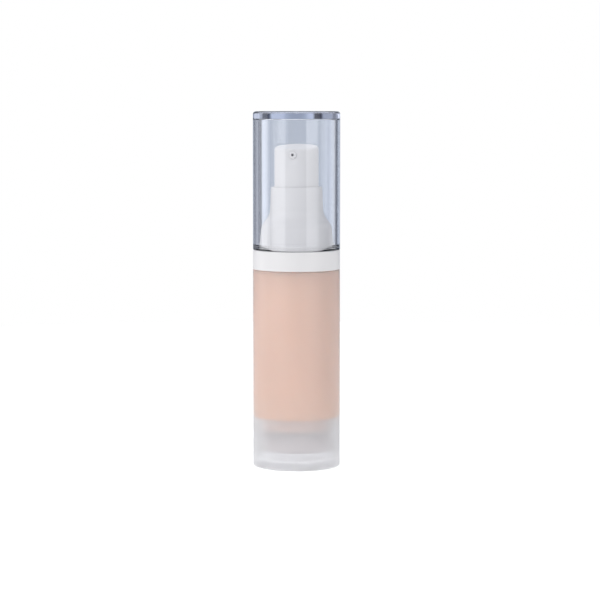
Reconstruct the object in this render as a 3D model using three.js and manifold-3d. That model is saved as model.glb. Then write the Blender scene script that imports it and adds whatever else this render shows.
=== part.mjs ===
// A 30 ml airless pump bottle for liquid foundation, in millimetres, +Z up.
//
// The origin is the centre of the foot, on the surface that the bottle stands on. The nozzle points
// along -Y. From the ground up: a frosted bottle with a vented floor, a follower piston that rises
// as the foundation is used, the foundation itself, a pump engine hung in the bottle's mouth, a
// white shoulder collar snapped over the neck, a push button on the pump's stem, and a clear overcap
// that lifts off the collar's ledge.
import * as THREE from 'three';
import { mergeVertices } from 'three/addons/utils/BufferGeometryUtils.js';
import Module from 'manifold-3d';

const wasm = await Module();
wasm.setup();

// ---------------------------------------------------------------- clearances
const seatGap = 0.05;       // between faces that rest on each other
const slideGap = 0.1;       // radial, between pieces that slide or snap together
const sealGap = 0.05;       // radial, between a wiping lip and its bore
const buttonGap = 0.25;     // radial, between the push button and the collar's neck
const capGap = 0.25;        // radial, between the overcap and the land that guides it
const fillGap = 0.1;        // between the foundation and what it touches

// ---------------------------------------------------------------- driving dimensions
const bottle = {
  diameter: 31,
  wall: 2.25,
  shoulderHeight: 70.4,     // from the ground to the step that the collar meets
  floor: 1.8,
  footRecess: 0.6,          // the floor is raised this much, so that the vent stays open
  footWidth: 3.4,
  ventDiameter: 1.5,
  edgeRadius: 0.6,
  cornerRadius: 1.2,        // inside, between floor and wall
  neckHeight: 4.2,
  beadDepth: 0.25,          // the snap bead round the neck
  beadHeight: 0.8,
  beadBelowMouth: 0.5,
};
const gasketThickness = 0.75;
const collar = {
  skirtWall: 0.9,
  catchDepth: 0.35,         // from the skirt's inside to the bottle's neck
  ledgeWall: 0.9,
  stepGap: 0.15,            // the fine line between the collar and the bottle
  landHeight: 2.7,
  capBeadDepth: 0.1,
  bellInset: 0.2,           // from the land to the bell
  bellRise: 4.9,            // nearly upright part of the bell above the land
  bellDraft: 6,             // its lean from the vertical, in degrees
  bellRadius: 4.5,          // convex curve of the bell, seen in section
  slopeAngle: 40,           // of the bell's slope from the vertical, in degrees
  throatRadius: 5.6,        // concave curve that runs up into the neck
  neckFlare: 0.35,          // how much wider the neck is at its foot than at its rim
  neckHeight: 7.95,
  neckWall: 1.05,
  bellWall: 1.2,
  edge: 0.25,               // the small chamfers on its corners
};
const overcap = {
  headroom: 8.9,            // above the push button's highest point
  wall: 1.95,
  top: 2.6,
  edgeRadius: 1,
  innerEdgeRadius: 0.5,
  leadIn: 0.5,
  leadInHeight: 0.9,
  rimRadius: 0.3,
};
const button = {
  diameter: 15.7,
  height: 21,
  wall: 1.2,
  top: 2.2,
  edgeRadius: 0.9,
  topSlope: 6.5,            // the top falls towards the nozzle, in degrees
  aboveCollar: 14.3,        // how far the button stands out of the collar's neck at rest, on its axis
  bossWall: 1.2,
  bossBelowTop: 11.5,
  channelRadius: 1,
  nozzleChannelRadius: 0.9,
  nozzleBelowEdge: 0.55,    // from the lowest edge of the top down to the nozzle
  nozzleBossWall: 0.4,
};
const nozzle = {
  radius: 1.45,
  depth: 2.6,
  proud: 0.25,
  chamfer: 0.3,
  orificeRadius: 0.5,
  boreRadius: 0.9,
  face: 0.8,
};
const pump = {
  stroke: 5,
  cylinderBore: 8,
  cylinderWall: 1.2,
  flangeOverhang: 0.2,      // past the hub that carries it
  flangeThickness: 1,
  guidePlug: 1.95,          // how far the stem guide reaches down into the cylinder
  noseRadius: 3.2,
  noseTaper: 1.3,
  noseBelowSeat: 1.5,       // length of the inlet below the ball's seat
  floorWall: 0.75,
  floorClearance: 0.3,      // left under the stem's head at the end of the stroke
  inletRadius: 0.9,
  ballRadius: 1.25,
  ballLift: 0.9,
  ballChamberRadius: 1.6,
  ballLipRadius: 1.15,
  ballLipHeight: 0.4,
};
const stem = {
  radius: 1.9,
  bore: 2.2,
  inButton: 5.1,
  headOverhang: 1.2,        // past the stem, under the piston that it shuts
  headHeight: 1.35,
  headEdge: 0.4,
  inlet: 0.65,
  shankLength: 5,
  fluteDepth: 0.45,         // the flats on the shank, which let the foundation past
};
const pumpPiston = { height: 4, lipHeight: 0.9, waist: 0.35, slip: 0.6 };
const seat = {
  flange: 1,
  flangeRadiusInset: 0.4,   // inside the collar's skirt
  skirtWall: 0.75,
  skirtHeight: 3.15,        // how far the sealing skirt reaches down the bore
  plugInset: 1.65,          // from the bore to the plug that fills the follower's dish
  plugDrop: 4.1,
  wall: 1.1,
  hubHeight: 14.4,
  hubWall: 1.2,
  beadDepth: 0.25,
  beadHeight: 0.9,
  beadBelowTop: 3.4,
};
const closure = { wall: 0.95, lip: 0.8, lipWidth: 2.1, catchHeight: 0.75 };
const spring = { wire: 0.65, meanRadius: 3.4, turns: 10, deadTurns: 1.25 };
const follower = {
  topHeight: 17.7,          // of the upper lip above the ground, with the bottle full
  height: 11.6,
  wall: 1.05,
  dishDepth: 4.4,
  wellDepth: 1.7,
  wellGap: 1,
  lipHeight: 1.5,
  waist: 0.3,
};

// ---------------------------------------------------------------- worked-out places
const outerRadius = bottle.diameter / 2;
const boreRadius = outerRadius - bottle.wall;
const floorTop = bottle.footRecess + bottle.floor;
const skirtInside = outerRadius - collar.skirtWall;
const neckRadius = skirtInside - collar.catchDepth;
const mouthHeight = bottle.shoulderHeight + bottle.neckHeight;
const gasketHeight = mouthHeight + seatGap;
const seatFlangeHeight = gasketHeight + gasketThickness + seatGap;
const seatTop = seatFlangeHeight + seat.flange;
const ledgeHeight = seatTop + seatGap + collar.ledgeWall;
const landTop = ledgeHeight + collar.landHeight;
const capBottom = ledgeHeight + seatGap;
const capInnerRadius = outerRadius - overcap.wall;
const landRadius = capInnerRadius - capGap;

const plugBottom = seatFlangeHeight - seat.skirtHeight - seat.plugDrop;
const skirtBottom = seatFlangeHeight - seat.skirtHeight;
const plugRadius = boreRadius - seat.plugInset;
const cylinderRadius = pump.cylinderBore / 2 + pump.cylinderWall;
const hubBore = cylinderRadius + slideGap;
const hubRadius = hubBore + seat.hubWall;
const flangeRadius = hubRadius + pump.flangeOverhang;
const hubTop = plugBottom + seat.hubHeight;
const engineGasketHeight = hubTop + seatGap;
const flangeHeight = engineGasketHeight + gasketThickness + seatGap;
const guideHeight = flangeHeight + pump.flangeThickness + seatGap;
const guideTop = guideHeight + pump.flangeThickness;
const springFoot = guideTop + seatGap;

const buttonRadius = button.diameter / 2;
const neckBore = buttonRadius + buttonGap;
const rimRadius = neckBore + collar.neckWall;
const bell = bellSizes();
const neckTop = landTop + bell.height + collar.neckHeight;
const buttonTop = neckTop + button.aboveCollar;
const buttonRise = buttonRadius * Math.tan(THREE.MathUtils.degToRad(button.topSlope));
const buttonBottom = buttonTop - button.height;
const bossBottom = buttonTop - button.bossBelowTop;
const capTop = buttonTop + buttonRise + overcap.headroom + overcap.top;
const springTop = bossBottom - seatGap;
const stemTop = bossBottom + stem.inButton;
const nozzleHeight = buttonTop - buttonRise - button.nozzleBelowEdge - nozzle.radius;

const guidePlugBottom = guideHeight - pump.guidePlug;
const pistonTop = guidePlugBottom - pumpPiston.slip - slideGap;
const pistonBottom = pistonTop - pumpPiston.height;
const headTop = pistonBottom - seatGap;
const headBottom = headTop - stem.headHeight;
const stemBottom = headTop + stem.inlet;
const chamberFloor = headBottom - pump.stroke - pump.floorClearance;
const taperTop = chamberFloor - pump.floorWall;
const ballTop = chamberFloor - pump.ballLift - slideGap;
const ballCentre = ballTop - pump.ballRadius;
const inletEdge = ballCentre - Math.sqrt(pump.ballRadius ** 2 - pump.inletRadius ** 2) - seatGap;
const noseBottom = inletEdge - pump.noseBelowSeat;

const followerBottom = follower.topHeight - follower.height;
const lipRadius = boreRadius - sealGap;
const dishFloor = follower.topHeight - follower.dishDepth;
const dishRadius = lipRadius - follower.waist - follower.wall;
const wellFloor = dishFloor - follower.wellDepth;
const wellRadius = pump.noseRadius + follower.wellGap;

// The bell's curves, from its foot on the land to the foot of the neck. Both curves shrink together
// where the step between land and neck is too small for them.
function bellSizes() {
  const draft = THREE.MathUtils.degToRad(collar.bellDraft);
  const slope = THREE.MathUtils.degToRad(collar.slopeAngle);
  const bellTop = landRadius - collar.bellInset - collar.bellRise * Math.tan(draft);
  const step = bellTop - rimRadius - collar.neckFlare;
  const convexStep = collar.bellRadius * (Math.cos(draft) - Math.cos(slope));
  const concaveStep = collar.throatRadius * (1 - Math.cos(slope));
  const fit = Math.min(1, step / (convexStep + concaveStep));
  const slopeStep = step - fit * (convexStep + concaveStep);
  const convexRise = fit * collar.bellRadius * (Math.sin(slope) - Math.sin(draft));
  const concaveRise = fit * collar.throatRadius * Math.sin(slope);
  return {
    radius: fit * collar.bellRadius,
    throatRadius: fit * collar.throatRadius,
    height: collar.bellRise + convexRise + slopeStep / Math.tan(slope) + concaveRise,
  };
}

// ---------------------------------------------------------------- finishes
function plastic(color, roughness, opacity = 1) {
  const transparent = opacity < 1;
  return new THREE.MeshStandardMaterial({ color, roughness, metalness: 0, opacity, transparent });
}
const finishes = {
  clearTinted: plastic(0xc9d3e2, 0.05, 0.35),
  white: plastic(0xf1f1f3, 0.32),
  frosted: plastic(0xe6e6e8, 0.55, 0.6),
  natural: plastic(0xe9e8e4, 0.4),
  seal: plastic(0xe2e4e4, 0.5),
  foundation: plastic(0xe3c4b2, 0.35),
  steel: new THREE.MeshStandardMaterial({ color: 0xc4c6c9, roughness: 0.25, metalness: 1 }),
};

// ---------------------------------------------------------------- solids
const wideFacets = 32;
const slimFacets = 20;

// A solid of revolution about Z from [radius, height] points, which run anticlockwise round the section.
function turned(profile, facets = wideFacets) {
  const onAxis = profile[0][0] === 0 && profile[profile.length - 1][0] === 0;
  const closed = onAxis ? profile : [...profile, profile[0]];
  const points = closed.map(([radius, height]) => new THREE.Vector2(radius, height));
  return new THREE.LatheGeometry(points, facets).rotateX(Math.PI / 2);
}

// Points of an arc in section, from one angle to another in degrees, with both ends.
function arc(centreRadius, centreHeight, radius, from, to, steps = 4) {
  const points = [];
  for (let i = 0; i <= steps; i++) {
    const angle = THREE.MathUtils.degToRad(from + ((to - from) * i) / steps);
    points.push([centreRadius + radius * Math.cos(angle), centreHeight + radius * Math.sin(angle)]);
  }
  return points;
}

// A geometry as a manifold-3d solid, with its shared vertices merged and its collapsed faces dropped.
function solid(geometry) {
  const bare = geometry.clone();
  bare.deleteAttribute('normal');
  bare.deleteAttribute('uv');
  const merged = mergeVertices(bare, 1e-4);
  const triangles = [];
  const index = merged.index.array;
  for (let i = 0; i < index.length; i += 3) {
    const [a, b, c] = index.slice(i, i + 3);
    if (a !== b && b !== c && c !== a) triangles.push(a, b, c);
  }
  return new wasm.Manifold(new wasm.Mesh({
    numProp: 3,
    vertProperties: merged.attributes.position.array,
    triVerts: new Uint32Array(triangles),
  }));
}

function geometryOf(manifold) {
  const mesh = manifold.getMesh();
  const geometry = new THREE.BufferGeometry();
  geometry.setAttribute('position', new THREE.BufferAttribute(mesh.vertProperties, 3));
  geometry.setIndex(new THREE.BufferAttribute(mesh.triVerts, 1));
  geometry.computeVertexNormals();
  return geometry;
}

// A rod along Y, from one y to another, at a height on the axis.
function crossRod(radius, from, to, height, facets = slimFacets) {
  return new THREE.CylinderGeometry(radius, radius, to - from, facets).translate(0, (from + to) / 2, height);
}

const assembly = new THREE.Group();
assembly.name = 'foundation_bottle';

function add(name, geometry, material) {
  const mesh = new THREE.Mesh(geometry, material);
  mesh.name = name;
  assembly.add(mesh);
}

// ---------------------------------------------------------------- bottle
function bottleBody() {
  const footInside = outerRadius - bottle.footWidth;
  const bead = neckRadius + bottle.beadDepth;
  const beadTop = mouthHeight - bottle.beadBelowMouth;
  const beadFoot = beadTop - bottle.beadHeight;
  return turned([
    [bottle.ventDiameter / 2, bottle.footRecess],
    [footInside, bottle.footRecess],
    [footInside + bottle.footRecess, 0],
    ...arc(outerRadius - bottle.edgeRadius, bottle.edgeRadius, bottle.edgeRadius, -90, 0),
    [outerRadius, bottle.shoulderHeight],
    [neckRadius, bottle.shoulderHeight],
    [neckRadius, beadFoot],
    [bead, beadFoot],
    [bead, beadFoot + bottle.beadHeight / 3],
    [neckRadius, beadTop],
    [neckRadius, mouthHeight],
    [boreRadius, mouthHeight],
    ...arc(boreRadius - bottle.cornerRadius, floorTop + bottle.cornerRadius, bottle.cornerRadius, 0, -90),
    [bottle.ventDiameter / 2, floorTop],
  ]);
}

function followerPiston() {
  const waistRadius = lipRadius - follower.waist;
  const top = follower.topHeight;
  const under = follower.wall;
  return turned([
    [0, wellFloor - under],
    [wellRadius + under, wellFloor - under],
    [wellRadius + under, dishFloor - under],
    [dishRadius, dishFloor - under],
    [dishRadius, followerBottom],
    [lipRadius - follower.waist, followerBottom],
    [lipRadius, followerBottom + follower.waist],
    [lipRadius, followerBottom + follower.lipHeight],
    [waistRadius, followerBottom + follower.lipHeight + follower.waist],
    [waistRadius, top - follower.lipHeight - follower.waist],
    [lipRadius, top - follower.lipHeight],
    [lipRadius, top - follower.waist],
    [waistRadius, top],
    [dishRadius, top],
    [dishRadius, dishFloor],
    [wellRadius, dishFloor],
    [wellRadius, wellFloor],
    [0, wellFloor],
  ]);
}

// The foundation, from the follower's dish up to the pump seat and round the cylinder.
function foundationFill() {
  const noseClear = pump.noseRadius + fillGap;
  const cylinderClear = cylinderRadius + fillGap;
  const body = solid(turned([
    [0, wellFloor + fillGap],
    [wellRadius - fillGap, wellFloor + fillGap],
    [wellRadius - fillGap, dishFloor + fillGap],
    [dishRadius - fillGap, dishFloor + fillGap],
    [dishRadius - fillGap, follower.topHeight + fillGap],
    [boreRadius - fillGap, follower.topHeight + fillGap],
    [boreRadius - fillGap, skirtBottom - fillGap],
    [plugRadius + fillGap, skirtBottom - fillGap],
    [plugRadius + fillGap, plugBottom - fillGap],
    [0, plugBottom - fillGap],
  ]));
  const hole = solid(turned([
    [0, noseBottom - fillGap],
    [noseClear, noseBottom - fillGap],
    [noseClear, taperTop - pump.noseTaper - fillGap],
    [cylinderClear, taperTop - fillGap],
    [cylinderClear, flangeHeight],
    [0, flangeHeight],
  ]));
  return geometryOf(body.subtract(hole));
}

// ---------------------------------------------------------------- pump engine
function washer(inner, outer, height) {
  return turned([
    [inner, height],
    [outer, height],
    [outer, height + gasketThickness],
    [inner, height + gasketThickness],
  ]);
}

// The wide plug that carries the engine: its skirt wipes the bore, and its hub holds the cylinder.
function pumpSeat() {
  const skirtRadius = boreRadius - slideGap;
  const skirtBore = skirtRadius - seat.skirtWall;
  const seatRadius = skirtInside - seat.flangeRadiusInset;
  const plugInside = plugRadius - seat.wall;
  const beadTop = hubTop - seat.beadBelowTop;
  const beadFoot = beadTop - seat.beadHeight;
  const bead = hubRadius + seat.beadDepth;
  return turned([
    [hubBore, plugBottom],
    [plugRadius, plugBottom],
    [plugRadius, skirtBottom],
    [skirtRadius, skirtBottom],
    [skirtRadius, seatFlangeHeight],
    [seatRadius, seatFlangeHeight],
    [seatRadius, seatTop],
    [skirtBore, seatTop],
    [skirtBore, skirtBottom + seat.wall],
    [plugInside, skirtBottom + seat.wall],
    [plugInside, plugBottom + seat.wall],
    [hubRadius, plugBottom + seat.wall],
    [hubRadius, beadFoot],
    [bead, beadFoot],
    [bead, beadFoot + seat.beadHeight / 3],
    [hubRadius, beadTop],
    [hubRadius, hubTop],
    [hubBore, hubTop],
  ]);
}

// The dosing chamber, with its ball seat and inlet in the nose.
function pumpCylinder() {
  const chamberRadius = pump.cylinderBore / 2;
  const seatRise = pump.ballChamberRadius - pump.inletRadius;
  return turned([
    [pump.inletRadius, noseBottom],
    [pump.noseRadius, noseBottom],
    [pump.noseRadius, taperTop - pump.noseTaper],
    [cylinderRadius, taperTop],
    [cylinderRadius, flangeHeight],
    [flangeRadius, flangeHeight],
    [flangeRadius, flangeHeight + pump.flangeThickness],
    [chamberRadius, flangeHeight + pump.flangeThickness],
    [chamberRadius, chamberFloor],
    [pump.ballLipRadius, chamberFloor],
    [pump.ballLipRadius, chamberFloor - pump.ballLipHeight],
    [pump.ballChamberRadius, chamberFloor - pump.ballLipHeight],
    [pump.ballChamberRadius, inletEdge + seatRise],
    [pump.inletRadius, inletEdge],
  ], slimFacets);
}

function stemGuide() {
  const hole = stem.radius + slideGap;
  return turned([
    [hole, guidePlugBottom],
    [pump.cylinderBore / 2 - slideGap, guidePlugBottom],
    [pump.cylinderBore / 2 - slideGap, guideHeight],
    [flangeRadius, guideHeight],
    [flangeRadius, guideTop],
    [hole, guideTop],
  ], slimFacets);
}

// Snaps over the hub's bead and holds the guide, the cylinder and its gasket down.
function pumpClosure() {
  const bead = hubRadius + seat.beadDepth;
  const inside = bead + slideGap;
  const outside = inside + closure.wall;
  const beadFoot = hubTop - seat.beadBelowTop - seat.beadHeight;
  const catchTop = beadFoot - seatGap;
  return turned([
    [hubRadius + slideGap, catchTop - closure.catchHeight],
    [outside, catchTop - closure.catchHeight],
    [outside, guideTop + seatGap + closure.lip],
    [flangeRadius - closure.lipWidth, guideTop + seatGap + closure.lip],
    [flangeRadius - closure.lipWidth, guideTop + seatGap],
    [inside, guideTop + seatGap],
    [inside, catchTop],
    [hubRadius + slideGap, catchTop],
  ]);
}

function pumpStem() {
  return turned([
    [stem.bore / 2, stemBottom],
    [stem.radius, stemBottom],
    [stem.radius, stemTop],
    [stem.bore / 2, stemTop],
  ], slimFacets);
}

// The head that shuts the piston's port, on a shank with two flats that let the foundation past.
function stemTip() {
  const shankRadius = stem.bore / 2 - sealGap;
  const shankTop = stemBottom + stem.shankLength;
  const headRadius = stem.radius + stem.headOverhang;
  const tip = turned([
    [0, headBottom],
    [headRadius - stem.headEdge, headBottom],
    [headRadius, headBottom + stem.headEdge],
    [headRadius, headBottom + 2 * stem.headEdge],
    [stem.radius, headTop],
    [shankRadius, headTop],
    [shankRadius, shankTop],
    [0, shankTop],
  ], slimFacets);
  const flat = new THREE.BoxGeometry(2 * shankRadius, shankRadius, shankTop - headTop);
  const beyond = shankRadius * 1.5 - stem.fluteDepth;
  const flats = [-1, 1].map((side) =>
    solid(flat.clone().translate(0, side * beyond, (headTop + shankTop) / 2 + sealGap)));
  return geometryOf(solid(tip).subtract(flats[0]).subtract(flats[1]));
}

function pumpPistonRing() {
  const outside = pump.cylinderBore / 2 - sealGap;
  const inside = stem.radius + slideGap;
  const waistRadius = outside - pumpPiston.waist;
  return turned([
    [inside, pistonBottom],
    [outside, pistonBottom],
    [outside, pistonBottom + pumpPiston.lipHeight],
    [waistRadius, pistonBottom + pumpPiston.lipHeight + pumpPiston.waist],
    [waistRadius, pistonTop - pumpPiston.lipHeight - pumpPiston.waist],
    [outside, pistonTop - pumpPiston.lipHeight],
    [outside, pistonTop],
    [inside, pistonTop],
  ], slimFacets);
}

function inletBall() {
  return new THREE.SphereGeometry(pump.ballRadius, 16, 10).rotateX(Math.PI / 2).translate(0, 0, ballCentre);
}

// The wire's centreline: dead turns at both ends, lying close, and even turns between them.
class Coil extends THREE.Curve {
  getPoint(t, target = new THREE.Vector3()) {
    const turn = t * spring.turns;
    const closePitch = spring.wire * 1.15;
    const length = springTop - springFoot - spring.wire;
    const activeTurns = spring.turns - 2 * spring.deadTurns;
    const activeRise = length - 2 * spring.deadTurns * closePitch;
    const active = THREE.MathUtils.clamp(turn - spring.deadTurns, 0, activeTurns);
    const rise = (turn - active) * closePitch + (active * activeRise) / activeTurns;
    const angle = 2 * Math.PI * turn;
    return target.set(
      spring.meanRadius * Math.cos(angle),
      spring.meanRadius * Math.sin(angle),
      springFoot + spring.wire / 2 + rise,
    );
  }
}

function returnSpring() {
  const section = new THREE.Shape();
  const sides = 6;
  for (let i = 0; i < sides; i++) {
    const angle = (2 * Math.PI * i) / sides;
    const place = [(spring.wire / 2) * Math.cos(angle), (spring.wire / 2) * Math.sin(angle)];
    if (i === 0) section.moveTo(...place);
    else section.lineTo(...place);
  }
  section.closePath();
  return new THREE.ExtrudeGeometry(section, { steps: spring.turns * 12, extrudePath: new Coil() });
}

// ---------------------------------------------------------------- collar, button, overcap
// The bell's section from its foot on the land to the neck, moved in by a wall.
function bellSection(inward) {
  const { bellDraft, slopeAngle, bellRise, neckFlare } = collar;
  const lean = bellRise * Math.tan(THREE.MathUtils.degToRad(bellDraft));
  const bellFoot = landRadius - collar.bellInset;
  const convexCentre = [
    bellFoot - lean - bell.radius * Math.cos(THREE.MathUtils.degToRad(bellDraft)),
    landTop + bellRise - bell.radius * Math.sin(THREE.MathUtils.degToRad(bellDraft)),
  ];
  const throatCentre = [rimRadius + neckFlare + bell.throatRadius, landTop + bell.height];
  return [
    [bellFoot - inward, landTop],
    ...arc(...convexCentre, bell.radius - inward, bellDraft, slopeAngle),
    ...arc(...throatCentre, bell.throatRadius + inward, 180 + slopeAngle, 180),
  ];
}

function shoulderCollar() {
  const skirtFoot = bottle.shoulderHeight + collar.stepGap;
  const catchTop = mouthHeight - bottle.beadBelowMouth - bottle.beadHeight - seatGap;
  const catchRadius = neckRadius + slideGap;
  const catchFoot = catchTop - bottle.beadHeight;
  const capBead = landRadius + collar.capBeadDepth;
  const beadMiddle = ledgeHeight + collar.landHeight / 2;
  const { edge } = collar;
  const inner = bellSection(collar.bellWall).filter(([radius]) => radius > neckBore).reverse();
  return turned([
    [skirtInside, skirtFoot],
    [outerRadius - edge, skirtFoot],
    [outerRadius, skirtFoot + edge],
    [outerRadius, ledgeHeight - edge],
    [outerRadius - edge, ledgeHeight],
    [landRadius, ledgeHeight],
    [landRadius, beadMiddle - 2 * collar.capBeadDepth],
    [capBead, beadMiddle],
    [landRadius, beadMiddle + 2 * collar.capBeadDepth],
    [landRadius, landTop - edge],
    [landRadius - edge, landTop],
    ...bellSection(0),
    [rimRadius, neckTop - edge],
    [rimRadius - edge, neckTop],
    [neckBore, neckTop],
    [neckBore, inner[0][1]],
    ...inner,
    [landRadius - collar.bellInset - collar.bellWall, seatTop + seatGap],
    [skirtInside, seatTop + seatGap],
    [skirtInside, catchTop],
    [catchRadius, catchTop],
    [catchRadius, catchFoot + bottle.beadHeight / 3],
    [skirtInside, catchFoot],
  ]);
}

// Tilts what lies at or above a height towards -Y, and leaves what is lower where it is.
function slanted(geometry, height, degrees) {
  const position = geometry.attributes.position;
  const slope = Math.tan(THREE.MathUtils.degToRad(degrees));
  for (let i = 0; i < position.count; i++) {
    const z = position.getZ(i);
    if (z > height - 1e-3) position.setZ(i, z + slope * position.getY(i));
  }
  return geometry;
}

// The push button: a capped sleeve with a boss for the stem and a cross bore out to the nozzle.
function pushButton() {
  const inside = buttonRadius - button.wall;
  const under = buttonTop - button.top;
  const socket = stem.radius + slideGap;
  const boss = socket + button.bossWall;
  const shell = turned([
    [0, bossBottom],
    [boss, bossBottom],
    [boss, under],
    [inside, under],
    [inside, buttonBottom],
    [buttonRadius, buttonBottom],
    ...arc(buttonRadius - button.edgeRadius, buttonTop - button.edgeRadius, button.edgeRadius, 0, 90),
    [0, buttonTop],
  ]);
  const body = solid(slanted(shell, buttonTop - button.edgeRadius, button.topSlope));
  const socketRadius = nozzle.radius + slideGap;
  const socketEnd = -buttonRadius + nozzle.depth;
  const bossRadius = socketRadius + button.nozzleBossWall;
  const bossEnd = -inside - button.wall / 2;
  const nozzleBoss = solid(crossRod(bossRadius, bossEnd, -button.channelRadius, nozzleHeight));
  const insertSocket = solid(crossRod(socketRadius, -2 * buttonRadius, socketEnd, nozzleHeight));
  const channel = solid(crossRod(button.nozzleChannelRadius, -buttonRadius, 0, nozzleHeight));
  const stemSocket = solid(turned([
    [0, bossBottom - button.wall],
    [socket, bossBottom - button.wall],
    [socket, stemTop + seatGap],
    [0, stemTop + seatGap],
  ]));
  const riser = solid(turned([
    [0, stemTop],
    [button.channelRadius, stemTop],
    [button.channelRadius, nozzleHeight + button.channelRadius],
    [0, nozzleHeight + button.channelRadius],
  ], slimFacets));
  const bored = body.add(nozzleBoss).subtract(stemSocket).subtract(riser);
  return geometryOf(bored.subtract(channel).subtract(insertSocket));
}

function nozzleInsert() {
  const back = nozzle.depth - slideGap;
  const profile = turned([
    [nozzle.orificeRadius, buttonRadius + nozzle.proud - nozzle.face],
    [nozzle.boreRadius, buttonRadius + nozzle.proud - nozzle.face],
    [nozzle.boreRadius, buttonRadius - back],
    [nozzle.radius, buttonRadius - back],
    [nozzle.radius, buttonRadius + nozzle.proud - nozzle.chamfer],
    [nozzle.radius - nozzle.chamfer, buttonRadius + nozzle.proud],
    [nozzle.orificeRadius, buttonRadius + nozzle.proud],
  ], slimFacets);
  return profile.rotateX(Math.PI / 2).translate(0, 0, nozzleHeight);
}

function clearOvercap() {
  const ceiling = capTop - overcap.top;
  const edge = overcap.edgeRadius;
  const innerEdge = overcap.innerEdgeRadius;
  return turned([
    [capInnerRadius + overcap.leadIn, capBottom],
    ...arc(outerRadius - overcap.rimRadius, capBottom + overcap.rimRadius, overcap.rimRadius, -90, 0, 2),
    ...arc(outerRadius - edge, capTop - edge, edge, 0, 90),
    [0, capTop],
    [0, ceiling],
    ...arc(capInnerRadius - innerEdge, ceiling - innerEdge, innerEdge, 90, 0, 3),
    [capInnerRadius, capBottom + overcap.leadInHeight],
  ]);
}

add('bottle_body', bottleBody(), finishes.frosted);
add('follower_piston', followerPiston(), finishes.natural);
add('foundation_fill', foundationFill(), finishes.foundation);
add('neck_gasket', washer(boreRadius + slideGap, neckRadius - slideGap, gasketHeight), finishes.seal);
add('pump_seat', pumpSeat(), finishes.white);
add('cylinder_gasket', washer(hubBore, hubRadius, engineGasketHeight), finishes.seal);
add('pump_cylinder', pumpCylinder(), finishes.natural);
add('inlet_ball', inletBall(), finishes.steel);
add('stem_tip', stemTip(), finishes.white);
add('pump_piston', pumpPistonRing(), finishes.seal);
add('pump_stem', pumpStem(), finishes.white);
add('stem_guide', stemGuide(), finishes.white);
add('pump_closure', pumpClosure(), finishes.white);
add('return_spring', returnSpring(), finishes.steel);
add('shoulder_collar', shoulderCollar(), finishes.white);
add('push_button', pushButton(), finishes.white);
add('nozzle_insert', nozzleInsert(), finishes.white);
add('overcap', clearOvercap(), finishes.clearTinted);

export default assembly;
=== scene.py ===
"""Looks of a 30 ml airless bottle for liquid foundation, built piece by piece round its frame.

Every piece is turned, drawn out or cut at its own place, with +Z up and the nozzle towards -Y. It is
drawn in millimetres and finished in metres. The overcap, the frosted bottle, the foundation in it,
the follower under it, the collar, the push button and the whole pump inside are separate pieces.
"""
import logging
import math
from dataclasses import dataclass, field
from enum import Enum
from typing import Iterable, Sequence

import bmesh
import bpy
from mathutils import Matrix, Vector


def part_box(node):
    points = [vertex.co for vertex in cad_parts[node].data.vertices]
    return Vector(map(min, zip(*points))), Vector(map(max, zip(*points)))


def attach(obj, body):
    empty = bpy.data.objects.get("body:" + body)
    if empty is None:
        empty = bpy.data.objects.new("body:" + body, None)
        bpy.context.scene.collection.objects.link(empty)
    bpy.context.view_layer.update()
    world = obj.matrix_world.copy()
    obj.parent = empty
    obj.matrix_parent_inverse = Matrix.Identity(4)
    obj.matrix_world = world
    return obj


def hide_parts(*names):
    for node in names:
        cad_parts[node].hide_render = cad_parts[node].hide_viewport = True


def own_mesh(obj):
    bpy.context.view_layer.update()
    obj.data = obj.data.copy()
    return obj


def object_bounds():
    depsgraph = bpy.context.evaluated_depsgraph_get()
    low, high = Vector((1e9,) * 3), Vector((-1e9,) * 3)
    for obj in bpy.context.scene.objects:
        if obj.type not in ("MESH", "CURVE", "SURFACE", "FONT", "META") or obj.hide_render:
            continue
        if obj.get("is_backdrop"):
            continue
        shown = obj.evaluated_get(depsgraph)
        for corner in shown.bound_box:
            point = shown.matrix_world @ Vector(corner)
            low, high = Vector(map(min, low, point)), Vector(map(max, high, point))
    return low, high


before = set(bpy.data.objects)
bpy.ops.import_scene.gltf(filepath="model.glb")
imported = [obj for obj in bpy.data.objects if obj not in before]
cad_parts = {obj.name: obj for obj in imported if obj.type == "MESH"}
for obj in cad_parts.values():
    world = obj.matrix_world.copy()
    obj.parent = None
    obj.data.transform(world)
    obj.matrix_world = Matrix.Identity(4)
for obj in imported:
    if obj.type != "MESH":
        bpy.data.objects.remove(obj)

MM = 0.001
TURN = 2 * math.pi
TOUCHING = 0.0001
LOG = logging.getLogger("foundation_bottle")
Object, Material, Socket = bpy.types.Object, bpy.types.Material, bpy.types.NodeSocket


class Slot(Enum):
    """The record's material slots."""

    CLEAR = "clear_tinted_plastic"
    WHITE = "white_plastic"
    FROSTED = "frosted_plastic"
    NATURAL = "natural_plastic"
    SEAL = "seal_plastic"
    FOUNDATION = "foundation"
    STEEL = "spring_steel"


# ---------------------------------------------------------------- finishes


class Tree:
    """A node tree, with short ways to add nodes and join them."""

    def __init__(self, tree: bpy.types.NodeTree) -> None:
        """Takes a node tree."""
        self.tree = tree

    def node(self, kind: str, **values: object) -> bpy.types.Node:
        """Adds a node.

        Args:
            kind: the node's type.
            values: its socket values, by name, with underscores for spaces.

        Returns:
            The node.
        """
        made = self.tree.nodes.new(kind)
        for key, value in values.items():
            made.inputs[key.replace("_", " ")].default_value = value
        return made

    def link(self, source: Socket, target: Socket) -> None:
        """Joins two sockets."""
        self.tree.links.new(source, target)


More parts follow.
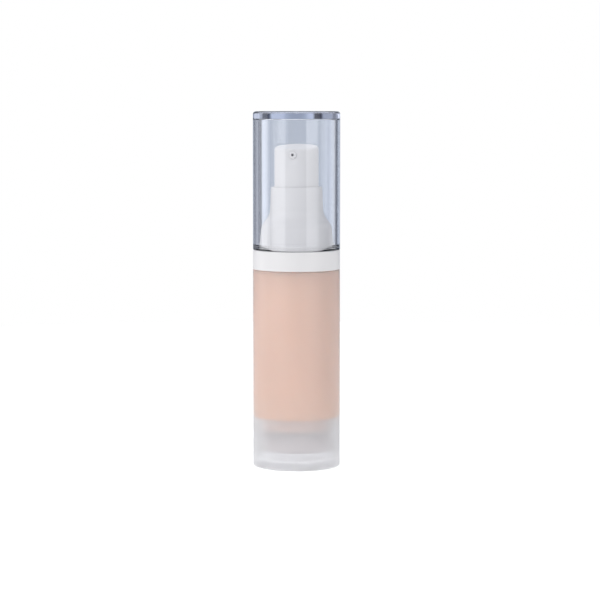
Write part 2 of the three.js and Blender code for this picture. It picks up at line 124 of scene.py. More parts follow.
class Shader(Tree):
    """A material's node tree, with its Principled shader and its pattern coordinates."""

    def __init__(self, name: str, **values: object) -> None:
        """Starts a material.

        Args:
            name: the material's name.
            values: the Principled shader's values, by name, with underscores for spaces.
        """
        self.material = bpy.data.materials.new(name)
        self.material.use_nodes = True
        super().__init__(self.material.node_tree)
        self.principled = self.tree.nodes["Principled BSDF"]
        self.output = self.tree.nodes["Material Output"]
        self.coordinates = self.tree.nodes.new("ShaderNodeTexCoord")
        for key, value in values.items():
            self.principled.inputs[key.replace("_", " ")].default_value = value

    def noise(self, scale: float, detail: float = 2.0, stretch: tuple = (1, 1, 1)) -> Socket:
        """Adds a noise pattern on the piece's own coordinates.

        Args:
            scale: how many grains there are to a metre.
            detail: octaves of finer grain.
            stretch: scale along each axis.

        Returns:
            The pattern's value, about 0.5 on average.
        """
        mapping = self.node("ShaderNodeMapping")
        mapping.inputs["Scale"].default_value = stretch
        texture = self.node("ShaderNodeTexNoise", Scale=scale, Detail=detail)
        self.link(self.coordinates.outputs["Object"], mapping.inputs["Vector"])
        self.link(mapping.outputs["Vector"], texture.inputs["Vector"])
        return texture.outputs["Fac"]

    def spread(self, value: Socket, low: float, high: float) -> Socket:
        """Spreads a pattern between two values.

        Args:
            value: the pattern.
            low: what its darkest parts become.
            high: what its lightest parts become.

        Returns:
            The new value.
        """
        ranged = self.node("ShaderNodeMapRange", From_Min=0.3, From_Max=0.7, To_Min=low, To_Max=high)
        self.link(value, ranged.inputs["Value"])
        return ranged.outputs["Result"]

    def height(self, low: float, high: float) -> Socket:
        """Adds a value that goes from 0 to 1 as the surface rises.

        Args:
            low: height of the 0.
            high: height of the 1.

        Returns:
            The value's socket.
        """
        parts = self.node("ShaderNodeSeparateXYZ")
        ranged = self.node("ShaderNodeMapRange", From_Min=low, From_Max=high)
        self.link(self.coordinates.outputs["Object"], parts.inputs["Vector"])
        self.link(parts.outputs["Z"], ranged.inputs["Value"])
        return ranged.outputs["Result"]

    def roughen(self, value: Socket, low: float, high: float) -> None:
        """Varies the roughness with a pattern."""
        self.link(self.spread(value, low, high), self.principled.inputs["Roughness"])

    def bump(self, value: Socket, distance: float, strength: float = 1.0) -> None:
        """Raises the surface with a pattern.

        Args:
            value: the pattern.
            distance: height of its relief, in metres.
            strength: share of that relief.
        """
        relief = self.node("ShaderNodeBump", Distance=distance, Strength=strength)
        self.link(value, relief.inputs["Height"])
        self.link(relief.outputs["Normal"], self.principled.inputs["Normal"])

    def tone(self, value: Socket, dark: tuple, light: tuple) -> None:
        """Varies the colour with a pattern.

        Args:
            value: the pattern.
            dark: colour of its darkest parts.
            light: colour of its lightest parts.
        """
        ramp = self.node("ShaderNodeValToRGB")
        ramp.color_ramp.elements[0].position = 0.35
        ramp.color_ramp.elements[0].color = (*dark, 1)
        ramp.color_ramp.elements[1].position = 0.65
        ramp.color_ramp.elements[1].color = (*light, 1)
        self.link(value, ramp.inputs["Fac"])
        self.link(ramp.outputs["Color"], self.principled.inputs["Base Color"])

    def light_through(self, colour: tuple) -> None:
        """Lets shadow rays through, tinted, so that what is inside a clear piece is lit.

        Args:
            colour: tint of the light that comes through one wall.
        """
        path = self.node("ShaderNodeLightPath")
        clear = self.node("ShaderNodeBsdfTransparent")
        clear.inputs["Color"].default_value = (*colour, 1)
        mix = self.node("ShaderNodeMixShader")
        self.link(path.outputs["Is Shadow Ray"], mix.inputs["Fac"])
        self.link(self.principled.outputs["BSDF"], mix.inputs[1])
        self.link(clear.outputs["BSDF"], mix.inputs[2])
        self.link(mix.outputs["Shader"], self.output.inputs["Surface"])


@dataclass(frozen=True)
class Finish:
    """What all finishes share: a name, a slot, and one material that is made when it is first asked for."""

    name: str
    slot: Slot

    def material(self) -> Material:
        """Returns the finish's material."""
        return bpy.data.materials.get(self.name) or self.make()

    def make(self) -> Material:
        """Makes the material."""
        raise NotImplementedError


@dataclass(frozen=True)
class MouldedPlastic(Finish):
    """An opaque or milky moulded plastic, with faint flow marks and the mould's fine texture."""

    dark: tuple = (0.78, 0.77, 0.775)
    light: tuple = (0.805, 0.795, 0.80)
    roughness: tuple = (0.34, 0.40)
    grain: float = 9000.0
    relief: float = 0.002 * MM
    subsurface: float = 0.08
    transmission: float = 0.0
    shade: tuple | None = None

    def make(self) -> Material:
        """Makes the material."""
        shader = Shader(
            self.name,
            IOR=1.49,
            Subsurface_Weight=self.subsurface,
            Subsurface_Radius=(1.0, 0.95, 0.9),
            Subsurface_Scale=0.8 * MM,
            Transmission_Weight=self.transmission,
        )
        flow = shader.noise(120, 3, (1, 1, 0.35))
        fine = shader.noise(self.grain, 2)
        self.paint(shader, flow)
        shader.roughen(flow, *self.roughness)
        shader.bump(fine, self.relief)
        if self.shade:
            shader.light_through(self.shade)
        return shader.material

    def paint(self, shader: Shader, flow: Socket) -> None:
        """Colours the surface by its flow marks."""
        shader.tone(flow, self.dark, self.light)


@dataclass(frozen=True)
class FollowerPlastic(MouldedPlastic):
    """Milky plastic, darker below the dish's floor as painted shade of the hollow skirt, and warm above it
    with the colour of the foundation behind it.
    """

    # Heights over which the painted shade of the hollow below fades into the foundation's warm colour.
    shade_fade_bottom: float = 12.6 * MM
    shade_fade_top: float = 13.4 * MM

    def paint(self, shader: Shader, flow: Socket) -> None:
        """Colours the surface by height: painted shade below the dish's floor, the foundation's warm colour
        above it.
        """
        shader.tone(shader.height(self.shade_fade_bottom, self.shade_fade_top), self.dark, self.light)


@dataclass(frozen=True)
class ClearPlastic(Finish):
    """A clear moulding whose tint deepens with the length of plastic that is looked through."""

    ior: float = 1.57
    gloss: float = 0.4
    roughness: float = 0.02
    tint: tuple = (0.13, 0.24, 0.55)
    density: float = 17.0
    shade: tuple = (0.995, 0.995, 0.995)
    relief: float = 0.004 * MM

    def make(self) -> Material:
        """Makes the material."""
        shader = Shader(
            self.name,
            Base_Color=(1, 1, 1, 1),
            Roughness=self.roughness,
            IOR=self.ior,
            Specular_IOR_Level=self.gloss,
            Transmission_Weight=1.0,
        )
        shader.bump(shader.noise(90, 2, (1, 1, 0.2)), self.relief)
        shader.light_through(self.shade)
        depth = shader.node("ShaderNodeVolumeAbsorption", Density=self.density)
        depth.inputs["Color"].default_value = (*self.tint, 1)
        shader.link(depth.outputs["Volume"], shader.output.inputs["Volume"])
        return shader.material


@dataclass(frozen=True)
class FrostedPlastic(Finish):
    """A translucent moulding with a fine etched grain outside."""

    dark: tuple = (0.93, 0.93, 0.94)
    light: tuple = (0.96, 0.96, 0.97)
    ior: float = 1.49
    roughness: tuple = (0.30, 0.36)
    transmission: float = 0.78
    shade: tuple = (0.90, 0.90, 0.91)
    grain: float = 5200.0
    relief: float = 0.006 * MM

    def make(self) -> Material:
        """Makes the material."""
        shader = Shader(self.name, IOR=self.ior, Transmission_Weight=self.transmission)
        etched = shader.noise(self.grain, 3)
        cloud = shader.noise(60, 2, (1, 1, 0.4))
        shader.tone(cloud, self.dark, self.light)
        shader.roughen(cloud, *self.roughness)
        shader.bump(etched, self.relief)
        shader.light_through(self.shade)
        return shader.material


@dataclass(frozen=True)
class Cream(Finish):
    """Liquid foundation: smooth, dense, with slow swirls of pigment."""

    dark: tuple = (0.795, 0.48, 0.325)
    light: tuple = (0.825, 0.51, 0.355)
    subsurface: float = 0.25

    def make(self) -> Material:
        """Makes the material."""
        shader = Shader(
            self.name,
            IOR=1.42,
            Subsurface_Weight=self.subsurface,
            Subsurface_Radius=(1.0, 0.55, 0.35),
            Subsurface_Scale=0.9 * MM,
        )
        swirl = shader.noise(70, 3, (1, 1, 0.5))
        shader.tone(swirl, self.dark, self.light)
        shader.roughen(swirl, 0.34, 0.42)
        shader.bump(swirl, 0.02 * MM)
        return shader.material


@dataclass(frozen=True)
class BrightSteel(Finish):
    """Drawn stainless steel, with faint lines from the die."""

    def make(self) -> Material:
        """Makes the material."""
        shader = Shader(self.name, Metallic=1.0)
        drawn = shader.noise(2600, 3, (1, 1, 8))
        shader.tone(drawn, (0.56, 0.57, 0.59), (0.66, 0.67, 0.69))
        shader.roughen(drawn, 0.16, 0.28)
        shader.bump(drawn, 0.002 * MM)
        return shader.material


class Finishes:
    """The object's own finishes."""

    CLEAR = ClearPlastic("clear_overcap_plastic", Slot.CLEAR)
    WHITE = MouldedPlastic("white_moulded_plastic", Slot.WHITE)
    FROSTED = FrostedPlastic("frosted_bottle_plastic", Slot.FROSTED)
    NATURAL = MouldedPlastic(
        "natural_milky_plastic", Slot.NATURAL,
        dark=(0.80, 0.76, 0.74), light=(0.84, 0.80, 0.78), roughness=(0.18, 0.24),
        subsurface=0.05, transmission=0.9, shade=(0.92, 0.89, 0.87),
    )
    # Follower: its dark colour is painted shade in the hollow skirt, its light colour the foundation seen
    # through the wall.
    FOLLOWER = FollowerPlastic(
        "follower_milky_plastic", Slot.NATURAL,
        dark=(0.56, 0.475, 0.46), light=(0.84, 0.62, 0.49), roughness=(0.18, 0.24),
        subsurface=0.05, transmission=0.82, shade=(0.88, 0.83, 0.80),
    )
    SEAL = MouldedPlastic(
        "soft_seal_plastic", Slot.SEAL,
        dark=(0.74, 0.76, 0.78), light=(0.79, 0.81, 0.83), roughness=(0.5, 0.6), subsurface=0.15,
    )
    FOUNDATION = Cream("foundation_cream", Slot.FOUNDATION)
    STEEL = BrightSteel("bright_drawn_steel", Slot.STEEL)


# ---------------------------------------------------------------- making shapes


@dataclass(frozen=True)
class Extent:
    """How far a node of the frame reaches, in mm: its radius about Z, its lowest and highest places."""

    radius: float
    bottom: float
    top: float

    @classmethod
    def of(cls, node: str) -> "Extent":
        """Reads a node's extent from the frame.

        Args:
            node: the node's name.

        Returns:
            Its extent.
        """
        low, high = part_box(node)
        return cls(high.x / MM, low.z / MM, high.z / MM)


def extent_of(node: str) -> Extent:
    """Makes a field that holds a node's extent."""
    return field(default_factory=lambda: Extent.of(node))


# A corner of half a section: its distance from the axis, its height and, if it is rounded, its fillet.
Corner = tuple[float, ...]


class Shape:
    """A mesh in the making, in mm, which ends as an object in metres with its place in its mesh."""

    def __init__(self, name: str) -> None:
        """Starts a shape.

        Args:
            name: the finished object's name.
        """
        self.name = name
        self.bm = bmesh.new()

    def move(self, verts: Iterable[bmesh.types.BMVert], matrix: Matrix) -> None:
        """Moves vertices by a matrix."""
        bmesh.ops.transform(self.bm, matrix=matrix, verts=list(verts))

    def ribs(self, count: int, inner: float, outer: float, low: float, high: float, wall: float) -> None:
        """Adds upright radial ribs with softened edges, evenly spaced about Z.

        Args:
            count: how many there are.
            inner: their distance from the axis.
            outer: how far out they reach.
            low: height of their lower edges.
            high: height of their upper edges.
            wall: their thickness.
        """
        size = Matrix.Diagonal((outer - inner, wall, high - low, 1))
        middle = Matrix.Translation(((inner + outer) / 2, 0, (low + high) / 2))
        for index in range(count):
            made = bmesh.ops.create_cube(self.bm, size=1)["verts"]
            self.move(made, Matrix.Rotation(TURN * index / count, 4, "Z") @ middle @ size)
            edges = list({edge for vert in made for edge in vert.link_edges})
            bmesh.ops.bevel(
                self.bm, geom=edges, offset=wall / 5, segments=2, profile=0.5, affect="EDGES", material=-1,
            )

    def finish(self, weighted: bool = True) -> Object:
        """Closes the shape into an object.

        Args:
            weighted: whether flat faces keep flat shading next to rounded edges.

        Returns:
            The object, at the origin.
        """
        self.move(self.bm.verts, Matrix.Diagonal((MM, MM, MM, 1)))
        bmesh.ops.recalc_face_normals(self.bm, faces=self.bm.faces)
        mesh = bpy.data.meshes.new(self.name)
        self.bm.to_mesh(mesh)
        self.bm.free()
        mesh.shade_smooth()
        made = bpy.data.objects.new(self.name, mesh)
        bpy.context.scene.collection.objects.link(made)
        if weighted:
            modifier = made.modifiers.new("flat_faces", "WEIGHTED_NORMAL")
            modifier.weight = 60
            modifier.keep_sharp = False
        return made


def turned(name: str, steps: int, corners: Sequence[Corner]) -> Shape:
    """Rounds the corners of half a section and spins it about Z into a closed shell.

    Args:
        name: the finished object's name.
        steps: how many facets go round.
        corners: the section's corners in order.

    Returns:
        The shape.
    """
    shape = Shape(name)
    bm = shape.bm
    points = [bm.verts.new((radius, 0, height)) for radius, height, *_ in corners]
    for pair in zip(points, points[1:]):
        bm.edges.new(pair)
    if max(points[0].co.x, points[-1].co.x) > 0:
        bm.edges.new((points[-1], points[0]))
    for point, (_, _, *fillet) in zip(points, corners):
        if fillet:
            legs = [edge.other_vert(point).co - point.co for edge in point.link_edges]
            reach = fillet[0] / math.tan(legs[0].angle(legs[1]) / 2)
            bmesh.ops.bevel(
                bm, geom=[point], offset=reach, offset_type="OFFSET", segments=5, profile=0.5,
                affect="VERTICES", clamp_overlap=True, material=-1,
            )
    bmesh.ops.spin(
        bm, geom=[*bm.verts, *bm.edges], cent=(0, 0, 0), axis=(0, 0, 1), dvec=(0, 0, 0),
        angle=TURN, steps=steps, use_merge=True, use_duplicate=False,
    )
    bmesh.ops.remove_doubles(bm, verts=bm.verts, dist=TOUCHING)
    return shape


def cut(target: Object, tool: Object) -> None:
    """Cuts one object out of another, and removes the tool.

    Args:
        target: what is cut.
        tool: the shape of the cut.
    """
    modifier = target.modifiers.new("cut", "BOOLEAN")
    modifier.operation = "DIFFERENCE"
    modifier.solver = "EXACT"
    modifier.object = tool
    with bpy.context.temp_override(object=target, active_object=target):
        bpy.ops.object.modifier_move_to_index(modifier=modifier.name, index=0)
        bpy.ops.object.modifier_apply(modifier=modifier.name)
    bpy.data.objects.remove(tool)


def place(made: Object, node: str, body: str, finish: Finish) -> None:
    """Dresses a piece, joins it to its body and lets it stand for its node.

    Args:
        made: the piece.
        node: the node of the frame that it stands for.
        body: the body that it moves with.
        finish: its finish.
    """
    made.data.materials.clear()
    made.data.materials.append(finish.material())
    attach(made, body)
    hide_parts(node)
    LOG.info("%s: %d faces, %s, rides on %s", made.name, len(made.data.polygons), finish.name, body)


# ---------------------------------------------------------------- bottle and contents


@dataclass
class Bottle:
    """The frosted bottle, its foundation, and the follower that closes it from below."""

    wall: float = 2.25
    floor: float = 1.8
    foot_recess: float = 0.6
    foot_width: float = 3.4
    vent: float = 0.75
    edge: float = 0.4
    inner_corner: float = 1.4
    neck_height: float = 4.2
    neck_inset: float = 1.25
    bead: float = 0.22
    fillet: float = 0.12
    wetting: float = 0.04
    dish_depth: float = 4.4
    well_depth: float = 1.7
    dish_wall: float = 1.05
    lip_height: float = 1.5
    waist: float = 0.3
    well_radius: float = 4.2
    shell: Extent = extent_of("bottle_body")
    fill: Extent = extent_of("foundation_fill")
    piston: Extent = extent_of("follower_piston")

    @property
    def bore(self) -> float:
        """Radius of the bottle's bore."""
        return self.shell.radius - self.wall

    def build(self) -> None:
        """Makes and dresses the three pieces."""
        place(self.body(), "bottle_body", "bottle", Finishes.FROSTED)
        place(self.follower(), "follower_piston", "follower", Finishes.FOLLOWER)
        cream = self.foundation()
        place(cream, "foundation_fill", "bottle", Finishes.FOUNDATION)
        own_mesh(cream)

    def body(self) -> Object:
        """Makes the bottle: foot ring, vented floor, straight wall, step and neck with a snap bead."""
        outer, foot = self.shell.radius, self.shell.bottom
        mouth = self.shell.top
        step = mouth - self.neck_height
        neck = outer - self.neck_inset
        foot_inside = outer - self.foot_width
        floor_top = foot + self.foot_recess + self.floor
        bead_top = mouth - 0.7
        bead_foot = bead_top - 0.8
        return turned("frosted_bottle", 192, (
            (self.vent, foot + self.foot_recess, 0.15),
            (foot_inside, foot + self.foot_recess, 0.4),
            (foot_inside + self.foot_recess, foot, 0.25),
            (outer, foot, self.edge),
            (outer, step, 0.15),
            (neck, step, self.fillet),
            (neck, bead_foot, 0.05),
            (neck + self.bead, bead_foot + 0.1, 0.08),
            (neck, bead_top, self.fillet),
            (neck, mouth, 0.2),
            (self.bore, mouth, 0.2),
            (self.bore, floor_top, self.inner_corner),
            (self.vent, floor_top, 0.15),
        )).finish()

    def follower(self) -> Object:
        """Makes the follower: two wiping lips, a dish and a well that match what is above them."""
        lip, top, bottom = self.piston.radius, self.piston.top, self.piston.bottom
        waist = lip - self.waist
        dish = waist - self.dish_wall
        dish_floor = top - self.dish_depth
        well_floor = dish_floor - self.well_depth
        under = self.dish_wall
        soft = 0.3
        shape = turned("follower", 160, (
            (0, well_floor - under),
            (self.well_radius + under, well_floor - under, soft),
            (self.well_radius + under, dish_floor - under, soft),
            (dish, dish_floor - under, 2 * soft),
            (dish, bottom, 0.2),
            (waist + 0.05, bottom, 0.15),
            (lip, bottom + 0.45, 0.25),
            (lip, bottom + self.lip_height, 0.3),
            (waist, bottom + self.lip_height + self.waist, 0.3),
            (waist, top - self.lip_height - self.waist, 0.3),
            (lip, top - self.lip_height, 0.3),
            (lip, top - 0.2, 0.15),
            (waist - 0.1, top, 0.15),
            (dish, top - 0.3, 0.2),
            (dish, dish_floor, 2 * soft),
            (self.well_radius, dish_floor, soft),
            (self.well_radius, well_floor, soft),
            (0, well_floor),
        ))
        shape.ribs(
            8, self.well_radius + under / 2, dish + 0.1, dish_floor - under - 2.2,
            dish_floor - under + 0.1, 0.8,
        )
        return shape.finish()

    def foundation(self) -> Object:
        """Makes the foundation, which wets the bottle's wall all the way up to the pump's seat."""
        top = self.fill.top
        lip_top = self.piston.top + 0.02
        waist = self.piston.radius - self.waist
        dish = waist - self.dish_wall - 0.02
        dish_floor = self.piston.top - self.dish_depth + 0.02
        well_floor = dish_floor - self.well_depth
        seat = Extent.of("pump_seat")
        nose = Extent.of("pump_cylinder")
        nose_radius = 3.3
        plug = 11.7
        wall = self.bore + self.wetting
        return turned("foundation", 160, (
            (0, well_floor),
            (self.well_radius - 0.02, well_floor, 0.3),
            (self.well_radius - 0.02, dish_floor, 0.3),
            (dish, dish_floor, 0.6),
            (dish, lip_top, 0.2),
            (wall, lip_top, 0.03),
            (wall, top, 0.1),
            (plug, top, 0.1),
            (plug, seat.bottom - 0.05, 0.2),
            (nose_radius, seat.bottom - 0.05, 0.1),
            (nose_radius, nose.bottom - 0.05, 0.1),
            (0, nose.bottom - 0.05),
        )).finish()


# ---------------------------------------------------------------- pump


@dataclass
class PumpMount:
    """What holds the pump in the bottle's mouth: seat, gaskets and snap ring."""

    skirt_wall: float = 0.75
    skirt_height: float = 3.15
    plug_inset: float = 1.65
    wall: float = 1.1
    hub_wall: float = 1.2
    bead: float = 0.25
    closure_wall: float = 0.95
    lip: float = 0.8
    gap: float = 0.1
    fillet: float = 0.15
    bore: float = 13.25
    flange: float = 1.0
    seat: Extent = extent_of("pump_seat")
    ring: Extent = extent_of("pump_closure")
    guide: Extent = extent_of("stem_guide")
    upper: Extent = extent_of("cylinder_gasket")
    lower: Extent = extent_of("neck_gasket")

    def build(self) -> None:
        """Makes and dresses the four pieces."""
        hub_bore = self.upper.radius - self.hub_wall
        place(self.holder(hub_bore), "pump_seat", "bottle", Finishes.WHITE)
        lower = self.gasket("mouth_gasket", self.lower, self.bore + self.gap)
        upper = self.gasket("engine_gasket", self.upper, hub_bore)
        place(lower, "neck_gasket", "bottle", Finishes.SEAL)
        place(upper, "cylinder_gasket", "bottle", Finishes.SEAL)
        place(self.snap_ring(), "pump_closure", "bottle", Finishes.WHITE)

    def holder(self, hub_bore: float) -> Object:
        """Makes the seat: flange, sealing skirt, stepped plug and hub, stiffened by ribs.

        Args:
            hub_bore: radius of the hole that the cylinder hangs in.

        Returns:
            The object.
        """
        seat_bottom = self.seat.bottom
        hub = self.upper.radius
        hub_top = self.upper.bottom - 0.05
        flange_foot = self.lower.top + 0.05
        flange_top = flange_foot + self.flange
        skirt = self.bore - self.gap
        skirt_foot = flange_foot - self.skirt_height
        plug = self.bore - self.plug_inset
        bead_top = hub_top - 3.4
        soft = self.fillet
        shape = turned("pump_holder", 128, (
            (hub_bore, seat_bottom, soft),
            (plug, seat_bottom, 2 * soft),
            (plug, skirt_foot, soft),
            (skirt, skirt_foot, 2 * soft),
            (skirt, flange_foot, 0.05),
            (self.seat.radius, flange_foot, soft),
            (self.seat.radius, flange_top, soft),
            (skirt - self.skirt_wall, flange_top, soft),
            (skirt - self.skirt_wall, skirt_foot + self.wall, soft),
            (plug - self.wall, skirt_foot + self.wall, soft),
            (plug - self.wall, seat_bottom + self.wall, 2 * soft),
            (hub, seat_bottom + self.wall, 2 * soft),
            (hub, bead_top - 0.9, 0.05),
            (hub + self.bead, bead_top - 0.8, 0.1),
            (hub, bead_top, soft),
            (hub, hub_top, soft),
            (hub_bore, hub_top, soft),
        ))
        shape.ribs(
            6, hub - 0.1, plug - self.wall + 0.1, seat_bottom + self.wall - 0.1,
            skirt_foot + self.wall, 0.8,
        )
        return shape.finish()

    def gasket(self, name: str, extent: Extent, inner: float) -> Object:
        """Makes a soft washer with crowned faces.

        Args:
            name: the object's name.
            extent: how far it reaches.
            inner: radius of its hole.

        Returns:
            The object.
        """
        soft = 0.22
        return turned(name, 96, (
            (inner, extent.bottom, soft),
            (extent.radius, extent.bottom, soft),
            (extent.radius, extent.top, soft),
            (inner, extent.top, soft),
        )).finish()

    def snap_ring(self) -> Object:
        """Makes the ring that snaps over the hub's bead and holds the guide down."""
        outer, top, bottom = self.ring.radius, self.ring.top, self.ring.bottom
        inside = outer - self.closure_wall
        under_lip = top - self.lip
        lip_radius = self.guide.radius - 2.1
        catch = self.upper.radius + self.gap
        soft = self.fillet
        shape = turned("pump_snap_ring", 112, (
            (catch, bottom, 0.2),
            (outer, bottom, 0.2),
            (outer, top, 0.35),
            (lip_radius, top, 0.2),
            (lip_radius, under_lip, soft),
            (inside, under_lip, soft),
            (inside, bottom + 0.75, 0.05),
            (catch, bottom + 0.75, 0.1),
        ))
        shape.ribs(36, outer - 0.2, outer, bottom + 1.2, top - 1.2, 0.35)
        return shape.finish()


@dataclass
class PumpEngine:
    """The dosing pump: cylinder, inlet ball, piston, hollow stem with its head, guide and spring."""

    bore: float = 4.0
    wall: float = 1.2
    inlet: float = 0.9
    nose: float = 3.2
    ball_room: float = 1.6
    ball_lip: float = 1.15
    chamber_floor: float = 1.0
    stem_bore: float = 1.1
    slide: float = 0.1
    wipe: float = 0.05
    wire: float = 0.325
    coil: float = 3.4
    turns: float = 10.0
    dead_turns: float = 1.25
    cylinder: Extent = extent_of("pump_cylinder")
    guide: Extent = extent_of("stem_guide")
    ball: Extent = extent_of("inlet_ball")
    piston: Extent = extent_of("pump_piston")
    stem: Extent = extent_of("pump_stem")
    tip: Extent = extent_of("stem_tip")
    spring: Extent = extent_of("return_spring")

    def build(self) -> None:
        """Makes and dresses the seven pieces."""
        place(self.chamber(), "pump_cylinder", "bottle", Finishes.NATURAL)
        place(self.lid(), "stem_guide", "bottle", Finishes.WHITE)
        place(self.valve_ball(), "inlet_ball", "ball", Finishes.STEEL)
        place(self.seal(), "pump_piston", "piston", Finishes.SEAL)
        place(self.hollow_stem(), "pump_stem", "stem", Finishes.WHITE)
        place(self.head(), "stem_tip", "stem", Finishes.WHITE)
        coil = self.coil_spring()
        place(coil, "return_spring", "bottle", Finishes.STEEL)
        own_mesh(coil)

    def chamber(self) -> Object:
        """Makes the cylinder: inlet, ball seat, chamber and flange."""
        outer = self.bore + self.wall
        top, bottom = self.cylinder.top, self.cylinder.bottom
        floor = self.ball.top + self.chamber_floor
        taper_top = floor - 0.75
        edge = self.ball.bottom + 0.28
        soft = 0.15
        return turned("dosing_cylinder", 96, (
            (self.inlet, bottom, soft),
            (self.nose, bottom, 2 * soft),
            (self.nose, taper_top - 1.3, soft),
            (outer, taper_top, 2 * soft),
            (outer, top - 1.0, soft),
            (self.cylinder.radius, top - 1.0, soft),
            (self.cylinder.radius, top, soft),
            (self.bore, top, soft),
            (self.bore, floor, 2 * soft),
            (self.ball_lip, floor, soft),
            (self.ball_lip, floor - 0.4, 0.1),
            (self.ball_room, floor - 0.6, 0.1),
            (self.ball_room, edge + 0.65, 0.1),
            (self.inlet, edge - 0.05, 0.05),
        )).finish()

    def lid(self) -> Object:
        """Makes the guide that closes the cylinder round the stem."""
        hole = self.stem.radius + self.slide
        plug = self.bore - self.slide
        soft = 0.15
        return turned("stem_guide_lid", 96, (
            (hole, self.guide.bottom, soft),
            (plug, self.guide.bottom, 2 * soft),
            (plug, self.guide.top - 1.0, 0.05),
            (self.guide.radius, self.guide.top - 1.0, soft),
            (self.guide.radius, self.guide.top, soft),
            (hole, self.guide.top, 2 * soft),
        )).finish()

    def valve_ball(self) -> Object:
        """Makes the inlet ball."""
        shape = Shape("valve_ball")
        made = bmesh.ops.create_icosphere(shape.bm, subdivisions=4, radius=self.ball.radius)["verts"]
        shape.move(made, Matrix.Translation((0, 0, (self.ball.top + self.ball.bottom) / 2)))
        return shape.finish(weighted=False)

    def seal(self) -> Object:
        """Makes the sliding piston, with a thin flared lip at each end."""
        outer, top, bottom = self.piston.radius, self.piston.top, self.piston.bottom
        inner = self.stem.radius + self.slide
        waist = outer - 0.45
        lip = 0.7
        groove = 0.5
        soft = 0.1
        return turned("sliding_piston", 96, (
            (inner, bottom, soft),
            (inner + 0.7, bottom, soft),
            (outer - 0.55, bottom + groove, 0.15),
            (outer - 0.2, bottom, soft),
            (outer, bottom + 0.15, soft),
            (outer, bottom + lip, soft),
            (waist, bottom + lip + 0.5, 0.3),
            (waist, top - lip - 0.5, 0.3),
            (outer, top - lip, soft),
            (outer, top - 0.15, soft),
            (outer - 0.2, top, soft),
            (outer - 0.55, top - groove, 0.15),
            (inner + 0.7, top, soft),
            (inner, top, soft),
        )).finish()

    def hollow_stem(self) -> Object:
        """Makes the stem that carries the button, with a chamfered upper end."""
        outer, top, bottom = self.stem.radius, self.stem.top, self.stem.bottom
        return turned("hollow_stem", 80, (
            (self.stem_bore, bottom, 0.12),
            (outer, bottom, 0.12),
            (outer, top - 0.4, 0.1),
            (outer - 0.25, top, 0.1),
            (self.stem_bore, top, 0.12),
        )).finish()

    def head(self) -> Object:
        """Makes the head on its shank, which is flattened on two sides to let the foundation past."""
        outer, top, bottom = self.tip.radius, self.tip.top, self.tip.bottom
        shoulder = self.piston.bottom - 0.05
        shank = self.stem_bore - self.wipe
        flat = shank - 0.45
        shape = turned("stem_head", 72, (
            (0, bottom),
            (outer - 0.3, bottom, 0.2),
            (outer, bottom + 0.35, 0.2),
            (outer, bottom + 0.8, 0.2),
            (self.stem.radius, shoulder, 0.1),
            (shank, shoulder, 0.05),
            (shank, top, 0.15),
            (0, top),
        ))
        for vert in shape.bm.verts:
            if vert.co.z > shoulder + 0.04:
                vert.co.y = max(-flat, min(flat, vert.co.y))
        bmesh.ops.remove_doubles(shape.bm, verts=shape.bm.verts, dist=TOUCHING)
        return shape.finish()

    def coil_spring(self) -> Object:
        """Makes the spring: even turns between close turns at both ends, wound from round wire."""
        shape = Shape("stem_spring")
        around = bmesh.ops.create_circle(shape.bm, cap_ends=False, radius=self.wire, segments=14)["verts"]
        shape.move(around, Matrix.Rotation(math.pi / 2, 4, "X"))
        shape.move(around, Matrix.Translation((self.coil, 0, self.spring.bottom + self.wire)))
        close_pitch = 2 * self.wire * 1.12
        rise = self.spring.top - self.spring.bottom - 2 * self.wire - 2 * self.dead_turns * close_pitch
        open_turns = self.turns - 2 * self.dead_turns
        stretches = (
            (self.dead_turns, close_pitch),
            (open_turns, rise / open_turns),
            (self.dead_turns, close_pitch),
        )
        first = list({edge for vert in around for edge in vert.link_edges})
        geometry: list = list(around) + first
        per_turn = 36
        for turns, pitch in stretches:
            made = bmesh.ops.spin(
                shape.bm, geom=geometry, cent=(0, 0, 0), axis=(0, 0, 1), dvec=(0, 0, pitch / per_turn),
                angle=TURN * turns, steps=round(turns * per_turn), use_merge=False, use_duplicate=False,
            )
            geometry = made["geom_last"]
        last = [item for item in geometry if isinstance(item, bmesh.types.BMEdge)]
        bmesh.ops.edgeloop_fill(shape.bm, edges=first)
        bmesh.ops.edgeloop_fill(shape.bm, edges=last)
        return shape.finish(weighted=False)


# ---------------------------------------------------------------- what the hand meets


